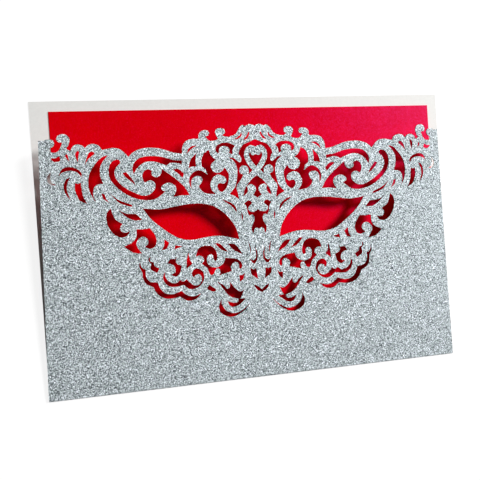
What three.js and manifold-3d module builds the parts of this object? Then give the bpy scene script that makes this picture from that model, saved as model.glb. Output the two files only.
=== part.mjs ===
// Laser-cut invitation card: one folded sheet of glitter card whose front flap is cut as a
// filigree carnival mask, with a loose plain insert card lying in the fold.
// Millimetres, +Z up. The card lies on its back panel, and the fold is on the -Y side.
import * as THREE from 'three';
import { mergeGeometries, mergeVertices } from 'three/addons/utils/BufferGeometryUtils.js';
import Module from 'manifold-3d';

// Driving dimensions
const cardWidth = 185; // along the fold
const cardHeight = 125; // from the fold to the free edge of the back panel
const sheet = 0.4; // glitter card thickness
const foldGap = 0.9; // clear height inside the fold
const flapTilt = THREE.MathUtils.degToRad(5.25); // how far the cut flap springs open
const cornerInset = 4.9; // the flap's free corners lie this far inside the card's sides
const cornerDrop = 18; // and this far short of the back panel's free edge
const taperStart = 3; // the flap keeps the full width for this much above the fold
const insert = {
  sheet: 0.35,
  sideMargin: 6.2, // narrower than the jacket on each side
  topMargin: 4.75, // from its upper edge to the back panel's free edge
  foldMargin: 1.5, // from the outside of the fold to its lower edge
  shift: 1.25, // lies a little to the right
  turn: THREE.MathUtils.degToRad(-0.25),
};

// Fineness of the curves
const blade = 0.085; // largest distance between a cut's true curve and its facets
const foldSteps = 8;
const cutterReach = 0.3; // how far a cut runs past both faces of the flap

const foldRadius = foldGap / 2 + sheet;
const foldY = -cardHeight / 2;
const insertWidth = cardWidth - 2 * insert.sideMargin;
const insertHeight = cardHeight - insert.topMargin - insert.foldMargin;

// Cut paths are given on the flap's outer face: u from the centre line outwards and v up from
// the fold. The blade runs smoothly through plain knots and turns sharply at a tip. The paths
// are drawn for a card of this size and stretch with the card.
const drawnWidth = 185;
const drawnHeight = 125;
const tip = (u, v) => [u, v, true];

// Free edge of the mask, from the centre line out to the flap's corner
const freeEdge = [
  tip(0, 110.5), [2.1, 111.2], tip(3.9, 110.4), [5.3, 110.9], [6.8, 109.5], [8.3, 107.3],
  [11.4, 106.2], [13.2, 106.5], tip(14.2, 107), [13.2, 107.4], [12.8, 108.4], [13.3, 109.5],
  [14.9, 109.9], [16.5, 109.4], [17, 108.1], [16.5, 106.7], tip(15.8, 105.6), [16.9, 105],
  [18.5, 104.7], [20.1, 105.1], tip(21.2, 106.6), [20.1, 106.9], [19.5, 107.9], [20.2, 109],
  [21.5, 109.2], [23.2, 108.6], [24, 107.4], tip(24.1, 105.8), [26.4, 105.8], [28.5, 105.5],
  [30.2, 104.3], [31.1, 102.3], tip(31.4, 99.8), [34.9, 100.5], [39.9, 102.2], [45.4, 102.8],
  [49.4, 102.1], [51.9, 100.7], tip(53.2, 99.4), [54.4, 100.8], [56.5, 102.7], [59.6, 103.2],
  [62.1, 102.8], tip(63.4, 102.5), [64.3, 104.1], [66.6, 105.1], [68.7, 104.7], tip(70, 103.5),
  [71.1, 104.6], [72.7, 105.1], [74.5, 104.5], tip(75.9, 102.6), tip(77.2, 103.5), [76.1, 105.2],
  [75.7, 107.4], [76.6, 108.8], [78.4, 109.3], [80, 108.7], [80.7, 107.3], [80, 106.1],
  tip(78.5, 106), [79.3, 104.2], [80.6, 102.5], [82.4, 102.1], [83.7, 103], tip(83.3, 103.9),
  [82.3, 104.4], [81.6, 105.6], [82, 106.9], [83.4, 107.4], [84.7, 107.3], tip(85.5, 106.8),
];

// Openings on the centre line: half of each, from its top on the centre line to its foot
const centreCuts = {
  domeRoundHeart: [
    tip(0, 104.9), [2.4, 103.8], [4.9, 102.9], [6.8, 100.7], [7.4, 99], [6.6, 97.5], [6.4, 96.1],
    [7.1, 95.3], [8.1, 95.9], [9.6, 97.2], tip(11.8, 97.6), [10, 96.3], [8.8, 94.4],
    [8.3, 91.5], [8.8, 88], [9.8, 84.8], tip(12.2, 82.2), [9.8, 81], tip(8.2, 79.6),
    [8.6, 82.6], [9.1, 85], [7.9, 86.8], [6.7, 88.3], tip(5.8, 90), [7.2, 90.8], [7.4, 92.5],
    [6.3, 93.8], [4.6, 93.8], [3.4, 92.4], tip(3.4, 90.2), tip(1.7, 91.8), [3.5, 94.1],
    [4.8, 96.8], [5, 99], [3.9, 101.4], [2.1, 102.4], tip(0, 101.7),
  ],
  heart: [tip(0, 98.6), [1, 98.1], [1.9, 98.4], [2.3, 99.5], [2.9, 98.4], [2, 96], tip(0, 93.3)],
  archWithCurls: [
    tip(0, 89.6), [2.3, 87.9], [4.2, 85.7], [5.7, 83.4], tip(6.2, 80.9), [4.5, 82.3], [4.1, 83.8],
    [4.4, 84.9], [3, 85.9], [1.2, 85.1], [0.6, 83.5], tip(1.9, 81.2), tip(0, 80),
  ],
  vaseWithCommas: [
    tip(0, 74.9), [2, 73.9], [3.9, 74.4], [4.4, 75.8], [3.4, 76.9], [2.6, 77.7], [3.4, 78.8],
    [4.6, 78.8], tip(6, 77.8), [5, 76], [4.8, 74.4], tip(4, 72.3), [2.7, 72.9], [1.9, 71.8],
    [2.1, 69.8], [3.2, 67.7], [3.3, 66], tip(2.6, 64.4), [2.1, 66.4], [1, 67.1], tip(0, 66.4),
  ],
  noseNotch: [tip(0, 39.8), [1.7, 41.3], tip(3.6, 42.2), [2.4, 40], tip(0, 38.4)],
};

// Openings cut alike in both halves
const sideCuts = {
  crownSlit: [tip(2.2, 107.8), [2.8, 108], [3.3, 106.8], tip(5.1, 104.6), [3.6, 105.1], [2.4, 106.8]],
  crownLeaf: [tip(5.8, 108.1), [6.5, 106.7], tip(9.3, 105), [7.2, 105.3], [5.7, 106.6]],
  crownCurl: [
    tip(8.8, 102.4), [11, 103.5], [14.8, 103.6], [17.1, 102.1], [17.1, 100.2], tip(15.8, 99.4),
    [15.7, 101.2], [14.2, 102.4], [11.8, 101.8], [11.2, 100.5], tip(11.5, 99.4), tip(10.2, 98.8),
    [9.8, 100.9],
  ],
  browScrolls: [
    tip(20.1, 101), [22.2, 99.6], [23.5, 96.6], tip(23.4, 94.2), [21.9, 93], tip(21.2, 90.8),
    [23.1, 92.2], [25, 92.8], [27.1, 91.9], [28.8, 89.9], [29.1, 87.5], tip(28.2, 85),
    [28.2, 88.3], [26.9, 90.1], [24.9, 90.3], [23.4, 89.2], [23.9, 87.6], [25, 86.2], [24.1, 84.2],
    [22.1, 82.9], tip(18.2, 82.4), [19.9, 84.6], [20.1, 87], [18.8, 89.6], [16.5, 90.6],
    [14, 89.4], [13.3, 88], [14.3, 86.6], [16.1, 86.9], [17, 86.5], [17.2, 85], [15.8, 83.2],
    [13.8, 84.2], [12.4, 87.4], [12.2, 90.9], tip(13.8, 93.4), [14.8, 92], [16.7, 91.3],
    [18.7, 92], [19.6, 94.2], [18.8, 95.7], tip(17.2, 96.8), [19.2, 98.5],
  ],
  browLeaf: [tip(24.8, 102.9), [26.9, 102.9], [28.7, 101.6], tip(29.5, 99.7), [27.2, 101.8]],
  browPetal: [
    tip(25.4, 99.9), [27.2, 98.2], [28.5, 96], tip(28.9, 93.8), [27.5, 94.4], tip(25.8, 94.3),
    [25.9, 97],
  ],
  wingBand: [
    tip(31.6, 97.1), [34.9, 97.4], [39.4, 98.8], [44.9, 99.4], [48.9, 98.7], [51.1, 96.8],
    [52, 94.6], tip(51.6, 92.4), [50.2, 94.5], [47.4, 96.7], [43.5, 97.2], tip(38.1, 95.3),
    [36.6, 96.2], [34.1, 96.2], tip(31.7, 95.5),
  ],
  wingLeaf: [tip(35.6, 93.5), [33.6, 93.8], tip(31.1, 91.7), tip(31.7, 89.9), [33.5, 91.8]],
  wingBay: [
    tip(40.1, 94.1), [40.4, 92.2], [41.4, 91], [42.9, 90.7], [44.4, 91.7], tip(44.2, 93.4),
    [45.8, 94.1], [47.5, 93.1], [48.2, 90.8], tip(47.5, 88.6), [45.1, 89.5], [43.5, 88.6],
    [43.1, 86.8], [44.1, 84.9], [46.2, 83.5], [48.5, 83.3], [51.4, 84.5], [54.2, 86], [56.9, 88.2],
    [58.9, 91], [59.2, 93.6], [58.1, 95.7], [56.6, 97], [57, 98.2], [58.5, 98.4], [60.2, 97.4],
    [61.4, 94.8], [61.3, 91.4], [59.8, 88.5], [56.1, 84.9], [51.9, 82.5], [47.4, 81.4],
    [43.6, 81.7], tip(39.1, 84.6), [40.5, 85.3], [40.8, 86.4], [39.5, 87.7], [37.4, 88.1],
    [35.2, 87], [34.6, 85.2], tip(36.1, 82.1), [33.4, 82.6], tip(29.2, 82.6), [31.2, 86.1],
    [34.8, 89.8], [37.9, 92.3],
  ],
  wingSlit: [tip(54.6, 93.3), tip(56, 92.8), [54.1, 90.4], tip(51.1, 87.9), [52.1, 90]],
  cheekCrescent: [
    tip(61.2, 100.4), [63.8, 99.6], [66.8, 96.7], [69.1, 93.1], [69.8, 89.5], [69.5, 86],
    tip(67.4, 81.3), [68.2, 84.5], [67.7, 87.6], [66, 88.8], tip(63.9, 89), [64.8, 91.6],
    [64.8, 95.3], [63.4, 98.1],
  ],
  plumeDrop: [
    [66.4, 101.4], [67.3, 102], [68.6, 101.6], [69.6, 99.7], tip(70.7, 96.7), [69.1, 99.1],
  ],
  plumeDropUpright: [[72.4, 102], [72.9, 102.6], [74, 101.3], tip(73.2, 97.9), [72.8, 100.3]],
  plumeDropSmall: [[76.8, 100.8], [77.4, 101.4], [77.8, 100.4], tip(76.3, 98.3), [76.7, 99.8]],
  plumeDropFlat: [tip(80, 100.7), [81.8, 99.9], tip(83.8, 100), [82.1, 98.4], tip(79.9, 98.8)],
  templeArch: [
    tip(72.3, 92), [72.1, 93.7], [74, 95.5], [76.7, 96.3], [79.4, 95.6], tip(81.1, 92.8),
    [79.6, 94.1], [76.5, 94.8], [73.8, 94],
  ],
  templeHook: [
    tip(83.7, 94.6), [85.2, 93], [85.4, 91], [84.4, 89.5], tip(82.2, 89.3), [83.7, 90.2],
    [84.3, 92],
  ],
  templeCrescent: [
    tip(76.6, 92.2), [78.2, 91.5], [79.3, 89.2], [79.2, 86.2], tip(77.1, 82.8), [78.2, 86.6],
    [78, 89.6],
  ],
  templePane: [
    tip(72.7, 89.8), [73.9, 89.4], tip(74.9, 89.8), [75.2, 87.2], tip(73.8, 82.8), tip(70.8, 81.1),
    [72.3, 84.6],
  ],
  cheekLeaf: [tip(63.7, 84.6), tip(65, 85.1), [64.3, 82.7], tip(62.1, 81.1), [63.2, 82.7]],
  cheekSlit: [tip(61.6, 84.8), [58.1, 82], tip(53.2, 79.7), tip(53.2, 79), [58.1, 80.8]],
  cheekBlade: [
    tip(58.9, 78.4), [56.6, 76.6], tip(51.8, 75.9), tip(49.6, 73.4), [52.8, 73.4], [56.1, 75.2],
  ],
  cheekHook: [
    tip(61.8, 78.8), [63.3, 77.3], [63.9, 74.5], [63, 70.7], [60.8, 67.7], [58.2, 66.6],
    [56.1, 67.2], tip(54.8, 68.9), [56.6, 68.5], [58.2, 69.1], [58.6, 70.7], tip(57.5, 72.2),
    [59.9, 73.8], [61.1, 76],
  ],
  cheekScroll: [
    tip(46.6, 69.7), [44.9, 67.1], [44.2, 64.4], [45.1, 61.9], [47.1, 61.1], tip(49.2, 62),
    [48, 63], [47.6, 64.6], [48.6, 66], [50.1, 66.3], [51.6, 65.4], [52.6, 63.2],
    tip(50.5, 59.3), [54, 59.9], tip(57.6, 62.8), [54.5, 64], [52.5, 66.1], tip(52.1, 69.6),
    [49.4, 69.4],
  ],
  lidComma: [tip(39.1, 63.1), tip(40.9, 64.6), [41.2, 62.2], tip(42.4, 60.2), [40.5, 60.4]],
  lidDart: [tip(33.6, 61.1), tip(36.6, 61.8), tip(37.1, 60)],
  eye: [
    tip(9, 62.5), [10.2, 67.5], [14, 73.2], [19.5, 77.4], [25.9, 78.9], [33.9, 78.4],
    [41.9, 77.3], tip(49, 78.1), [46.2, 73.9], [40.9, 68.9], [35.1, 64.9], [29.7, 63.6],
    [23.9, 64.3], [17.4, 64.6],
  ],
  browSlit: [tip(15.8, 80), [11.8, 78.4], [9.7, 76.2], tip(9.5, 74.1), [11.8, 77.1]],
  noseDrop: [[7.4, 74.1], [7.6, 72.8], tip(7.1, 70.2), [6.8, 72.6]],
  cornerLeaf: [tip(14.2, 61), [11, 60.4], tip(7.8, 55.8), [11.9, 58.2]],
  cornerLeafSmall: [tip(19.7, 61.5), [17.8, 61.2], tip(14, 57.3), [17, 58.4]],
  lowerScrolls: [
    [19.1, 57], [20.6, 59.9], [23.9, 60.8], [27, 59.5], tip(28.2, 56.3), [26.9, 56.8], [25.2, 56],
    [24.8, 54.3], tip(25.8, 53.1), [23.6, 51], [22.9, 49.1], [22.1, 47.8], [20.8, 48.4],
    tip(19.7, 50.4), [18.5, 50.4], [18, 49], tip(18.6, 47.4), [16.2, 48.1], tip(12.9, 48.9),
    [13.3, 50.9], [12.3, 52.3], [10.8, 52.7], [9.7, 51.6], [9.7, 49.9], [8.9, 49.5], [8.3, 50.8],
    [8.8, 52.6], [10.8, 54.1], tip(15.5, 54.9), [16.2, 53], [18.1, 51.4], [20.2, 51],
    [22.6, 52], [23.5, 54.1], [23, 56.3], [21.7, 56.9], [20.7, 56], [20.7, 54.5], [19.9, 53.8],
    [19.2, 54.5],
  ],
  lowerDart: [tip(31.1, 58.5), [32.1, 55.4], tip(32.5, 51), [31.6, 52.2], tip(29.8, 53.5), [30.9, 55.3]],
  lowerComma: [
    tip(36, 57), [37.2, 55.9], tip(39, 56.1), tip(40.2, 54.4), [37.8, 53.3], [37.1, 51.2],
    [37.6, 49.9], tip(39.1, 49.6), [37.1, 48.4], [35.2, 50], tip(34.4, 53), [36.1, 53.6],
    [36.8, 55.3],
  ],
  lowerLeaf: [
    tip(47.2, 57.9), [48.2, 56.3], tip(47.1, 54.7), [47.4, 52.4], tip(44.9, 50.6), tip(43.8, 52.5),
    [45.6, 53.5], tip(46, 55.3), [47.4, 55.9],
  ],
  jawScroll: [
    tip(29.5, 47.2), [29, 48.3], [27.5, 48.8], [26.2, 47.5], [26.5, 45.4], [28.2, 43.9],
    [30.6, 44.6], tip(32.8, 47), [34.1, 46], tip(35.4, 46.9), [37.1, 45.7], [39.6, 46.2],
    [41.5, 48.4], tip(41.6, 50.9), [42.6, 48.6], [41.6, 45.6], [39, 44.1], [36.1, 44.2],
    tip(34.1, 44.6), [31.8, 42.7], [29.2, 42.5], [26.5, 44.1], [25.1, 46.8], [25.7, 49.8],
    [27.7, 51.2], [29.6, 50.6], [30.4, 48.9],
  ],
  jawLine: [
    tip(51.6, 56.2), [52.1, 54], tip(51, 51.4), [50.6, 47.8], [49.1, 45.8], tip(46.8, 44.7),
    [45.4, 41.6], [42.4, 39.5], [38.8, 39.2], tip(36, 39.7), [32.6, 37.6], [29.2, 38],
    tip(26.7, 40.4), [30.2, 39.3], [33.4, 40.4], tip(35.2, 42.1), [38.6, 41], [41.9, 41.6],
    [43.9, 43.7], tip(44.9, 46.6), [48.1, 47.2], [49.6, 49.5], tip(49.5, 52.5), [51.1, 53.4],
  ],
  chinPebble: [[20.2, 41.3], [21.9, 42.7], [23.1, 43.6], tip(24.2, 42.1), [22.4, 40.8], [20.9, 40.6]],
  chinDart: [tip(7.2, 47.9), [8.2, 46.8], tip(9.8, 46.8), tip(9.8, 43.7), [8.2, 45]],
  nosePane: [tip(2.2, 49.4), [3.3, 48.8], tip(4.8, 49.6), tip(4.4, 46.7), tip(1.5, 44.4), [1.8, 47]],
  noseHook: [
    tip(2.4, 59.3), [1.3, 56.4], [1.5, 53], [3.1, 51.4], tip(5, 53.7), [3.3, 52.9],
    [2.2, 53.8], [2, 56.4],
  ],
  noseSlit: [tip(5.1, 61.5), tip(4.3, 55.6), [4.1, 58.5]],
  chinBay: [
    tip(7.8, 40.8), [9.2, 39.6], [11, 40.3], tip(14.2, 44.2), [14.2, 42.2], [15.3, 41.3],
    [17.1, 43.2], tip(19.7, 44.9), [17.8, 42.3], [15.5, 39], [13.2, 37.2], tip(10.8, 36.5),
    [11, 35.2], [12.8, 34.8], tip(15.7, 36), [14.8, 34], [13, 33], [10.4, 33.8], tip(7.3, 36.3),
    tip(9.9, 36.5), [8.9, 38.2],
  ],
  chinCrescent: [
    tip(3.8, 36.1), [7.5, 32.5], [12, 30.3], [16, 31.5], [18.1, 34.5], tip(18.2, 37),
    [19.5, 33.7], [18.5, 30.7], [14.2, 28.7], [9.2, 30.4],
  ],
};

// Adds the points of a curve between two of its stations, finely enough for the blade
function followCurve(curve, from, to, points) {
  const [start, end] = [curve.getPoint(from), curve.getPoint(to)];
  const middle = curve.getPoint((from + to) / 2);
  const chord = new THREE.Line3(start, end);
  const nearest = chord.closestPointToPoint(middle, true, new THREE.Vector3());
  if (nearest.distanceTo(middle) > blade) {
    followCurve(curve, from, (from + to) / 2, points);
    followCurve(curve, (from + to) / 2, to, points);
  } else {
    points.push(new THREE.Vector2(end.x, end.y));
  }
}

const place = ([u, v]) => new THREE.Vector3(u * cardWidth / drawnWidth, v * cardHeight / drawnHeight);

// Turns knots into an outline: smooth runs from one tip to the next
function cutPath(knots, closed = true) {
  const first = knots.findIndex((knot) => knot[2]);
  const ring = [...knots.slice(first), ...knots.slice(0, first)];
  if (closed) ring.push(ring[0]);
  const start = place(ring[0]);
  const points = [new THREE.Vector2(start.x, start.y)];
  let run = [ring[0]];
  for (const knot of ring.slice(1)) {
    run.push(knot);
    if (!knot[2]) continue;
    const curve = new THREE.CatmullRomCurve3(run.map(place), false, 'centripetal');
    const spans = run.length - 1;
    for (let i = 0; i < spans; i++) followCurve(curve, i / spans, (i + 1) / spans, points);
    run = [knot];
  }
  if (closed) points.pop();
  return points;
}

const mirrored = (points) => points.map((p) => new THREE.Vector2(-p.x, p.y)).reverse();

// A prism through the flap along an outline, in the flap's own plane
function cutter(outline) {
  const solid = new THREE.ExtrudeGeometry(new THREE.Shape(outline), {
    depth: sheet + 2 * cutterReach,
    bevelEnabled: false,
  });
  return solid.translate(0, 0, -sheet - cutterReach);
}

// What the blade takes away: the waste round the mask's free edge, and the openings
function waste() {
  const half = cutPath(freeEdge, false);
  half.push(new THREE.Vector2(cardWidth / 2 - cornerInset, cardHeight - cornerDrop));
  half.push(new THREE.Vector2(cardWidth / 2, taperStart));
  const beyond = new THREE.Vector2(cardWidth / 2 + 5, cardHeight + 5);
  half.push(new THREE.Vector2(beyond.x, taperStart), beyond);
  return cutter([...mirrored(half), ...half.slice(1)]);
}

function openings() {
  const across = Object.values(centreCuts).map((knots) => {
    const half = cutPath(knots, false);
    return [...mirrored(half).slice(1), ...half.slice(1)];
  });
  const halves = Object.values(sideCuts).map((knots) => cutPath(knots));
  return [...across, ...halves, ...halves.map(mirrored)].map(cutter);
}

// The sheet seen from its side: back panel, fold and flap as one folded strip
function foldedStrip() {
  const centre = new THREE.Vector2(foldY + foldRadius, foldRadius);
  const around = (radius, angle) => new THREE.Vector2(
    centre.x - radius * Math.sin(angle),
    centre.y - radius * Math.cos(angle),
  );
  const turn = Math.PI - flapTilt;
  const angles = Array.from({ length: foldSteps + 1 }, (_, i) => (turn * i) / foldSteps);
  const outer = angles.map((angle) => around(foldRadius, angle));
  const inner = angles.map((angle) => around(foldRadius - sheet, angle)).reverse();
  const along = new THREE.Vector2(Math.cos(flapTilt), Math.sin(flapTilt)).multiplyScalar(cardHeight);
  const outerEnd = outer[foldSteps].clone().add(along);
  const innerEnd = inner[0].clone().add(along);
  const free = [new THREE.Vector2(-foldY, sheet), new THREE.Vector2(-foldY, 0)];
  const strip = new THREE.Shape([...outer, outerEnd, innerEnd, ...inner, ...free]);
  const solid = new THREE.ExtrudeGeometry(strip, { depth: cardWidth, bevelEnabled: false });
  return solid.applyMatrix4(new THREE.Matrix4().set(
    0, 0, 1, -cardWidth / 2,
    1, 0, 0, 0,
    0, 1, 0, 0,
    0, 0, 0, 1,
  ));
}

// Places the flap's plane: v = 0 is where its outer face would meet the outside of the fold
function layOnFlap(geometry) {
  const rise = foldRadius + foldRadius / Math.cos(flapTilt) - foldRadius * Math.tan(flapTilt);
  return geometry.rotateX(flapTilt).translate(0, foldY, rise);
}

const wasm = await Module();
wasm.setup();

function toSolid(geometry) {
  geometry.deleteAttribute('normal');
  geometry.deleteAttribute('uv');
  const merged = mergeVertices(geometry);
  return new wasm.Manifold(new wasm.Mesh({
    numProp: 3,
    vertProperties: merged.attributes.position.array,
    triVerts: new Uint32Array(merged.index.array),
  }));
}

function toGeometry(solid) {
  const mesh = solid.getMesh();
  const geometry = new THREE.BufferGeometry();
  geometry.setAttribute('position', new THREE.BufferAttribute(mesh.vertProperties, 3));
  geometry.setIndex(new THREE.BufferAttribute(mesh.triVerts, 1));
  geometry.computeVertexNormals();
  return geometry;
}

function makeJacket() {
  const cuts = layOnFlap(mergeGeometries([waste(), ...openings()]));
  const glitter = new THREE.MeshStandardMaterial({ color: '#b4b9bd', roughness: 0.45, metalness: 0.4 });
  const jacket = new THREE.Mesh(toGeometry(toSolid(foldedStrip()).subtract(toSolid(cuts))), glitter);
  jacket.name = 'jacket';
  return jacket;
}

function makeInsert() {
  const shimmer = new THREE.MeshStandardMaterial({ color: '#d0000a', roughness: 0.5, metalness: 0.1 });
  const plate = new THREE.BoxGeometry(insertWidth, insertHeight, insert.sheet);
  const card = new THREE.Mesh(plate, shimmer);
  const y = foldY + insert.foldMargin + insertHeight / 2;
  card.position.set(insert.shift, y, sheet + insert.sheet / 2);
  card.rotation.z = insert.turn;
  card.name = 'insert_card';
  return card;
}

const invitation = new THREE.Group();
invitation.add(makeJacket(), makeInsert());
export default invitation;
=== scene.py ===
"""Laser-cut invitation card: the glitter jacket with its filigree mask, and the red insert card."""
import math

import bmesh
import bpy
from mathutils import Matrix, Vector


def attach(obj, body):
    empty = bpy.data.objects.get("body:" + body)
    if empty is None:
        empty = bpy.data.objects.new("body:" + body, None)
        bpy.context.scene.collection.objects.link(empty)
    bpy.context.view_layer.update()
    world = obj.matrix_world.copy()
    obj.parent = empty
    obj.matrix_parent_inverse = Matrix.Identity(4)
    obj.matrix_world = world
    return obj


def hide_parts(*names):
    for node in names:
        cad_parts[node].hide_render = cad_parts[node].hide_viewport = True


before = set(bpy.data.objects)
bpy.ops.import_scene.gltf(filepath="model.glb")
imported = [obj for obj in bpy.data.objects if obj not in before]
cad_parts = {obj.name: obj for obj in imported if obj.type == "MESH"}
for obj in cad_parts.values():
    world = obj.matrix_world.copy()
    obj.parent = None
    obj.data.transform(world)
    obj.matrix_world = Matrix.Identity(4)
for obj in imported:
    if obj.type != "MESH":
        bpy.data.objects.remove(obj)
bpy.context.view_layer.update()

MM = 0.001

# The jacket's sheet and fold
CARD_WIDTH = 185 * MM
CARD_HEIGHT = 125 * MM
SHEET = 0.4 * MM
FOLD_RADIUS = 0.85 * MM  # outside of the fold
FOLD_STEPS = 24
OUTSIDE, INSIDE, EDGE = range(3)  # the sheet's material slots

# The flap, a plane that starts at the fold, and how its right side curls down
FLAP_TILT = math.radians(5.25)
FLAP_NORMAL = Vector((0, -math.sin(FLAP_TILT), math.cos(FLAP_TILT)))
FLAP_UP = Vector((0, math.cos(FLAP_TILT), math.sin(FLAP_TILT)))
FLAP_START = Vector((0, FOLD_RADIUS - CARD_HEIGHT / 2, FOLD_RADIUS)) + FLAP_NORMAL * FOLD_RADIUS
FLAP_AXES = Matrix((Vector((1, 0, 0)), FLAP_UP, FLAP_NORMAL)).transposed().to_4x4()
FROM_FLAP = Matrix.Translation(FLAP_START) @ FLAP_AXES
TO_FLAP = FROM_FLAP.inverted()
FLAP_CORNER = 107 * MM  # from the fold up the flap to its free corners
CURL = 4.4 * MM  # how far the right corner hangs below the flap's plane
CURL_START = 45 * MM  # from the card's middle
CURL_SLICES = 8

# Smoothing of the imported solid's cut paths
WELD = 0.001 * MM  # points closer than this are one
CURVE_STEPS = 3  # pieces that each facet of a cut path is divided into
LONGEST_CURVED = 12 * MM  # longer facets are straight sides
SHARP = math.radians(32)  # a cut path that turns more than this may be at a corner
ALWAYS_SHARP = math.radians(78)
CURVED = 0.6  # a turn is part of a curve when a neighbour turns this share of it or more
IN_PLANE = 0.9995  # cosine of the angle up to which a face counts as in the flap's plane
FACING = 0.7  # cosine that tells the sheet's two sides from its cut edges

# Materials
FLAKE = 0.22 * MM  # size of a glitter flake
FINE_FLAKE = FLAKE / 1.7  # a second, finer pattern that breaks the flakes up
FLAKE_SHARE = 0.62  # the flakes' share of the brightness, beside the finer pattern's
FLAKE_TINT = 0.8  # how strongly the flakes' own tints show
FLAKE_TILT = 1.1  # how far the flakes lean out of the sheet
SPECK = 0.16 * MM  # size of a pearl speck in the red card
SPECK_SHARE = 0.35  # how strongly the brightest specks show
SPECK_TILT = 0.25
CLOUDS = 120  # scale of the red card's slow change of colour, per metre
FIBRES = 900  # scale of the white card's fibres
FIBRE_HEIGHT = 0.02 * MM
FIBRE_BUMP = 0.1
SCORCH_AND_SHADE_SCALE = 700  # scale of the mottling in the cut edges' near-black brown, which is partly laser scorch and partly painted shade

# Light and floor, in metres and watts
AMBIENT = 0.05  # strength of the light that comes from all round
KEY_PLACE = Vector((0.90, 0.45, 1.00))
KEY_SIZE = 0.4
KEY_POWER = 24.3
FLOOR_SIZE = 6
FLOOR_GAP = 0.05 * MM  # below the card
FLOOR_GLOW = 0.87  # makes the floor look white and leaves the shadow on it

# The photograph's viewpoint, taken from the back panel's four corners and fitted to the cuts
EYE = Vector((-47.45, 2.03, 218.09)) * MM
LOOK_AT = Vector((-7.38, -0.72, 0.0)) * MM
IMAGE_UP = Vector((0.0693, 0.9976, 0.0))
LENS = 37.2
SENSOR = 36
NEAREST = 5 * MM  # what is closer to the camera isn't shown


def link(item):
    bpy.context.scene.collection.objects.link(item)


def add_camera():
    data = bpy.data.cameras.new("camera")
    data.lens = LENS
    data.sensor_width = SENSOR
    data.clip_start = NEAREST
    camera = bpy.data.objects.new("camera", data)
    back = (EYE - LOOK_AT).normalized()
    right = IMAGE_UP.cross(back).normalized()
    turned = Matrix((right, back.cross(right), back)).transposed().to_4x4()
    camera.matrix_world = Matrix.Translation(EYE) @ turned
    link(camera)
    bpy.context.scene.camera = camera


class Nodes:
    """Short calls for a material's nodes."""

    def __init__(self, name):
        self.material = bpy.data.materials.new(name)
        self.material.use_nodes = True
        self.tree = self.material.node_tree
        self.shader = self.tree.nodes["Principled BSDF"]

    def add(self, kind, settings=None, **inputs):
        node = self.tree.nodes.new(kind)
        for key, value in (settings or {}).items():
            setattr(node, key, value)
        for key, value in inputs.items():
            self.set(node, key, value)
        return node

    def set(self, node, socket, value):
        if isinstance(value, bpy.types.NodeSocket):
            self.tree.links.new(value, node.inputs[socket])
        else:
            node.inputs[socket].default_value = value

    def operate(self, kind, operation, values):
        node = self.add(kind, {"operation": operation})
        for i, value in enumerate(values):
            self.set(node, i, value)
        return node.outputs[0]

    def math(self, operation, *values):
        return self.operate("ShaderNodeMath", operation, values)

    def vector(self, operation, *values):
        return self.operate("ShaderNodeVectorMath", operation, values)

    def mix(self, factor, a, b, blend="MIX"):
        node = self.add("ShaderNodeMix", {"data_type": "RGBA", "blend_type": blend})
        self.set(node, 0, factor)
        self.set(node, 6, a)
        self.set(node, 7, b)
        return node.outputs[2]

    def ramp(self, factor, *stops):
        node = self.add("ShaderNodeValToRGB", Fac=factor)
        elements = node.color_ramp.elements
        while len(elements) < len(stops):
            elements.new(0.5)
        for element, (place, colour) in zip(elements, stops):
            element.position = place
            element.color = (*colour, 1)
        return node.outputs[0]

    def place(self):
        node = self.tree.nodes.get("Texture Coordinate") or self.add("ShaderNodeTexCoord")
        return node.outputs["Object"]

    def noise(self, scale, detail):
        node = self.add("ShaderNodeTexNoise", Vector=self.place(), Scale=scale, Detail=detail)
        return node.outputs["Fac"]

    def cells(self, size):
        """A pattern of cells of that size, each with its own random colour."""
        node = self.add("ShaderNodeTexVoronoi", Vector=self.place(), Scale=1 / size)
        return node.outputs["Color"]

    def split(self, colour):
        return self.add("ShaderNodeSeparateColor", Color=colour).outputs

    def tilt(self, colour, amount):
        """Turns the surface's normal another way for each colour."""
        normal = self.add("ShaderNodeNewGeometry").outputs["Normal"]
        spread = self.vector("SUBTRACT", colour, (0.5, 0.5, 0.5))
        scaled = self.vector("MULTIPLY", spread, (amount, amount, amount))
        tilted = self.vector("NORMALIZE", self.vector("ADD", normal, scaled))
        self.set(self.shader, "Normal", tilted)


def glitter():
    """Silver glitter: flakes that each have their own tilt, brightness, shine and faint tint."""
    m = Nodes("silver_glitter")
    flakes = m.cells(FLAKE)
    brightness, hue, shine = m.split(flakes)
    fine_brightness = m.split(m.cells(FINE_FLAKE))[0]
    level = m.math("ADD", m.math("MULTIPLY", brightness, FLAKE_SHARE),
                   m.math("MULTIPLY", fine_brightness, 1 - FLAKE_SHARE))
    grey = m.ramp(level, (0.36, (0.025, 0.034, 0.04)), (0.47, (0.42, 0.485, 0.515)),
                  (0.62, (0.75, 0.82, 0.84)))
    tint = m.ramp(hue, (0.0, (0.86, 1.0, 0.93)), (0.5, (1.0, 1.0, 1.0)),
                  (1.0, (0.95, 0.90, 1.0)))
    m.set(m.shader, "Base Color", m.mix(FLAKE_TINT, grey, tint, "MULTIPLY"))
    m.tilt(flakes, FLAKE_TILT)
    mirror = m.ramp(shine, (0.5, (0.05, 0.05, 0.05)), (0.8, (0.32, 0.32, 0.32)))
    m.set(m.shader, "Metallic", mirror)
    m.set(m.shader, "Roughness", 0.40)
    m.set(m.shader, "Specular IOR Level", 0.22)
    return m.material


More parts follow.
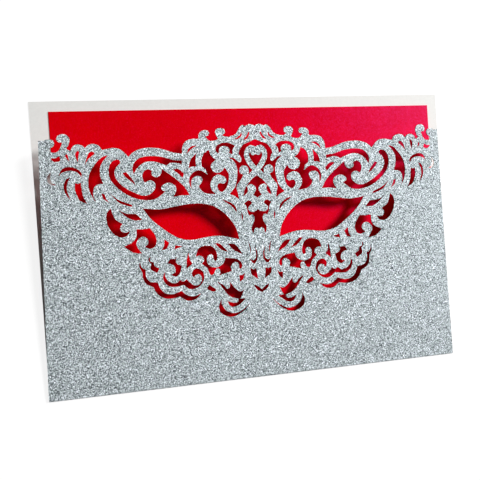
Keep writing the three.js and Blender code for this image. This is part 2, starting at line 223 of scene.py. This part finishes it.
def white_card():
    """The sheet's plain inside."""
    m = Nodes("card_inside")
    fibre = m.noise(FIBRES, 4)
    white = m.ramp(fibre, (0.3, (0.84, 0.84, 0.815)), (0.7, (0.875, 0.875, 0.85)))
    m.set(m.shader, "Base Color", white)
    m.set(m.shader, "Roughness", 0.85)
    bump = m.add("ShaderNodeBump", Height=fibre, Strength=FIBRE_BUMP, Distance=FIBRE_HEIGHT)
    m.set(m.shader, "Normal", bump.outputs[0])
    return m.material


def scorch_and_painted_shade_edge():
    """The sheet's cut edges in near-black brown: partly the laser's scorch, partly painted shade
    that darkens the walls of the openings.
    """
    m = Nodes("cut_edge")
    # Painted shade: the brown is kept near black so that the openings' walls look shadowed, on top
    # of the laser's real browning.
    brown = m.ramp(m.noise(SCORCH_AND_SHADE_SCALE, 3), (0.35, (0.045, 0.028, 0.02)),
                   (0.65, (0.13, 0.085, 0.06)))
    m.set(m.shader, "Base Color", brown)
    m.set(m.shader, "Roughness", 0.9)
    m.set(m.shader, "Specular IOR Level", 0.2)
    return m.material


def shimmer():
    """Red shimmer card: a smooth pigment with fine pearl specks."""
    m = Nodes("red_shimmer")
    specks = m.cells(SPECK)
    bright = m.ramp(m.split(specks)[0], (0.9, (0, 0, 0)), (1.0, (1, 1, 1)))
    red = m.ramp(m.noise(CLOUDS, 3), (0.3, (0.68, 0.0, 0.0)), (0.7, (0.72, 0.0, 0.0)))
    speckled = m.mix(m.math("MULTIPLY", bright, SPECK_SHARE), red, (1.0, 0.0, 0.12, 1))
    m.set(m.shader, "Base Color", speckled)
    m.tilt(specks, SPECK_TILT)
    m.set(m.shader, "Roughness", 0.34)
    m.set(m.shader, "Specular IOR Level", 0.13)
    m.set(m.shader, "Specular Tint", (0.9, 0.0, 0.8, 1))
    return m.material


def cut_borders(node):
    """The closed border lines of the flap's outer face, as points in the flap's own plane."""
    mesh = bmesh.new()
    mesh.from_mesh(node.data)
    bmesh.ops.remove_doubles(mesh, verts=mesh.verts, dist=WELD)
    mesh.normal_update()
    outer = {face for face in mesh.faces if face.normal.dot(FLAP_NORMAL) > IN_PLANE}
    following = {}
    for face in outer:
        for loop in face.loops:
            if not any(f in outer for f in loop.edge.link_faces if f is not face):
                following[loop.vert] = loop.link_loop_next.vert
    borders = []
    while following:
        first, here = following.popitem()
        ring = [first]
        while here is not first:
            ring.append(here)
            here = following.pop(here)
        borders.append([TO_FLAP @ vert.co for vert in ring])
    mesh.free()
    return borders


def corners(ring):
    """Which points of a border are sharp: they turn much more than the curve beside them."""
    count = len(ring)
    steps = [(ring[(i + 1) % count] - ring[i]).to_2d() for i in range(count)]
    turns = [steps[i - 1].angle_signed(steps[i], 0) for i in range(count)]
    sharp = []
    for i, turn in enumerate(turns):
        same_way = max(turns[i - 1] * turn, turns[(i + 1) % count] * turn, 0) / (abs(turn) or 1)
        alone = same_way < CURVED * abs(turn)
        sharp.append(abs(turn) > ALWAYS_SHARP or abs(turn) > SHARP and alone)
    return sharp


def curve_point(p0, p1, p2, p3, t):
    """A point between p1 and p2 on the centripetal curve through four points."""
    t1 = (p1 - p0).length ** 0.5
    t2 = t1 + (p2 - p1).length ** 0.5
    t3 = t2 + (p3 - p2).length ** 0.5
    s = t1 + (t2 - t1) * t
    a1 = p0.lerp(p1, s / t1)
    a2 = p1.lerp(p2, (s - t1) / (t2 - t1))
    a3 = p2.lerp(p3, (s - t2) / (t3 - t2))
    b1 = a1.lerp(a2, s / t2)
    b2 = a2.lerp(a3, (s - t1) / (t3 - t1))
    return b1.lerp(b2, (s - t1) / (t2 - t1))


def rounded(ring):
    """The same border with smoother curves and the same corners."""
    count = len(ring)
    sharp = corners(ring)
    points = []
    for i in range(count):
        p1, p2 = ring[i], ring[(i + 1) % count]
        p0 = 2 * p1 - p2 if sharp[i] else ring[i - 1]
        p3 = 2 * p2 - p1 if sharp[(i + 1) % count] else ring[(i + 2) % count]
        steps = 1 if (p2 - p1).length > LONGEST_CURVED else CURVE_STEPS
        points += [curve_point(p0, p1, p2, p3, k / steps) for k in range(steps)]
    return points


def cut_flap(node):
    """The flap: filled between the cut borders and given its thickness."""
    data = bpy.data.curves.new("flap", "CURVE")
    data.dimensions = "2D"
    data.fill_mode = "BOTH"
    data.extrude = SHEET / 2
    for ring in cut_borders(node):
        points = rounded(ring)
        spline = data.splines.new("POLY")
        spline.points.add(len(points) - 1)
        for point, place in zip(spline.points, points):
            point.co = (place.x, place.y, 0, 1)
        spline.use_cyclic_u = True
    shape = bpy.data.objects.new("flap", data)
    link(shape)
    evaluated = shape.evaluated_get(bpy.context.evaluated_depsgraph_get())
    mesh = bmesh.new()
    mesh.from_mesh(bpy.data.meshes.new_from_object(evaluated))
    bpy.data.objects.remove(shape)
    bmesh.ops.remove_doubles(mesh, verts=mesh.verts, dist=WELD)
    for i in range(1, CURL_SLICES):
        slice_at(mesh, Vector((0, FLAP_CORNER * i / CURL_SLICES, 0)), Vector((0, 1, 0)))
    at_fold = [face for face in mesh.faces if all(abs(vert.co.y) < WELD for vert in face.verts)]
    bmesh.ops.delete(mesh, geom=at_fold, context="FACES_ONLY")
    mesh.transform(FROM_FLAP @ Matrix.Translation((0, 0, -SHEET / 2)))
    mesh.normal_update()
    for face in mesh.faces:
        facing = face.normal.dot(FLAP_NORMAL)
        face.material_index = OUTSIDE if facing > FACING else INSIDE if facing < -FACING else EDGE
    return mesh


def slice_at(mesh, place, direction):
    """Adds edges where a plane crosses the mesh."""
    parts = mesh.verts[:] + mesh.edges[:] + mesh.faces[:]
    bmesh.ops.bisect_plane(mesh, geom=parts, dist=WELD, plane_co=place, plane_no=direction)


def curl_side(mesh):
    """Lets the flap's right side curl down towards its free corner, as in the photograph."""
    width = CARD_WIDTH / 2 - CURL_START
    for i in range(CURL_SLICES):
        slice_at(mesh, Vector((CURL_START + width * i / CURL_SLICES, 0, 0)), Vector((1, 0, 0)))
    for vert in mesh.verts:
        place = TO_FLAP @ vert.co
        on_flap = place.y > 0 and abs(place.z + SHEET / 2) < SHEET
        if on_flap:
            across = max(place.x - CURL_START, 0) / width
            vert.co -= FLAP_NORMAL * CURL * across ** 2 * place.y / FLAP_CORNER


def fold_and_back(mesh):
    """The rest of the sheet: once round the fold and out along the back panel."""
    centre = Vector((0, FOLD_RADIUS - CARD_HEIGHT / 2, FOLD_RADIUS))
    directions = []
    for i in range(FOLD_STEPS + 1):
        angle = (math.pi - FLAP_TILT) * (1 - i / FOLD_STEPS)
        directions.append(Vector((0, -math.sin(angle), -math.cos(angle))))
    outer = [centre + d * FOLD_RADIUS for d in directions]
    inner = [centre + d * (FOLD_RADIUS - SHEET) for d in directions]
    outer.append(Vector((0, CARD_HEIGHT / 2, 0)))
    inner.append(Vector((0, CARD_HEIGHT / 2, SHEET)))
    side = Vector((CARD_WIDTH / 2, 0, 0))

    def row(points, shift):
        return [mesh.verts.new(p + shift) for p in points]

    left_out, right_out = row(outer, -side), row(outer, side)
    left_in, right_in = row(inner, -side), row(inner, side)

    def strip(a, b, material):
        for i in range(len(a) - 1):
            face = mesh.faces.new((a[i], a[i + 1], b[i + 1], b[i]))
            face.material_index = material

    strip(left_out, right_out, OUTSIDE)
    strip(right_in, left_in, INSIDE)
    strip(right_out, right_in, EDGE)
    strip(left_in, left_out, EDGE)
    free = mesh.faces.new((left_out[-1], left_in[-1], right_in[-1], right_out[-1]))
    free.material_index = EDGE


def add_jacket():
    """A finer jacket in the place of the solid one: the same sheet with smoother cuts."""
    mesh = cut_flap(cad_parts["jacket"])
    fold_and_back(mesh)
    bmesh.ops.remove_doubles(mesh, verts=mesh.verts, dist=WELD)
    curl_side(mesh)
    bmesh.ops.recalc_face_normals(mesh, faces=mesh.faces)
    data = bpy.data.meshes.new("jacket_sheet")
    mesh.to_mesh(data)
    mesh.free()
    for material in (glitter(), white_card(), scorch_and_painted_shade_edge()):
        data.materials.append(material)
    jacket = bpy.data.objects.new("jacket_sheet", data)
    link(jacket)
    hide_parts("jacket")
    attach(jacket, "root")


def background_share(tree):
    """Makes nodes that give 1 for the rays that show the background, and 0 for the others."""
    path = tree.nodes.new("ShaderNodeLightPath")
    share = path.outputs["Is Camera Ray"]
    for kind in ("Is Glossy Ray", "Is Transmission Ray"):
        larger = tree.nodes.new("ShaderNodeMath")
        larger.operation = "MAXIMUM"
        tree.links.new(share, larger.inputs[0])
        tree.links.new(path.outputs[kind], larger.inputs[1])
        share = larger.outputs[0]
    return share


def add_floor():
    bpy.ops.mesh.primitive_plane_add(size=FLOOR_SIZE, location=(0, 0, -FLOOR_GAP))
    floor = bpy.context.object
    floor.name = "floor"
    m = Nodes("studio_white")
    m.set(m.shader, "Base Color", (0.22, 0.22, 0.22, 1))
    m.set(m.shader, "Roughness", 1.0)
    m.set(m.shader, "Specular IOR Level", 0.0)
    m.set(m.shader, "Emission Color", (1, 1, 1, 1))
    glow = m.math("MULTIPLY", background_share(m.tree), FLOOR_GLOW)
    m.set(m.shader, "Emission Strength", glow)
    floor.data.materials.append(m.material)


def add_world():
    """A world that looks white, also in reflections, but gives only a little light."""
    world = bpy.data.worlds.new("studio")
    bpy.context.scene.world = world
    world.use_nodes = True
    tree = world.node_tree
    strength = tree.nodes.new("ShaderNodeMapRange")
    strength.inputs["To Min"].default_value = AMBIENT
    tree.links.new(background_share(tree), strength.inputs["Value"])
    background = tree.nodes["Background"]
    background.inputs["Color"].default_value = (1, 1, 1, 1)
    tree.links.new(strength.outputs[0], background.inputs["Strength"])


def add_key_lamp():
    """A square soft box at the upper right, turned to the middle of the card."""
    data = bpy.data.lights.new("key", "AREA")
    data.size = KEY_SIZE
    data.energy = KEY_POWER
    lamp = bpy.data.objects.new("key", data)
    turned = KEY_PLACE.to_track_quat("Z", "Y").to_matrix().to_4x4()
    lamp.matrix_world = Matrix.Translation(KEY_PLACE) @ turned
    link(lamp)


bpy.context.scene.view_settings.view_transform = "Standard"
add_camera()
add_world()
add_key_lamp()
add_floor()
add_jacket()
insert_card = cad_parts["insert_card"]
insert_card.data.materials[0] = shimmer()
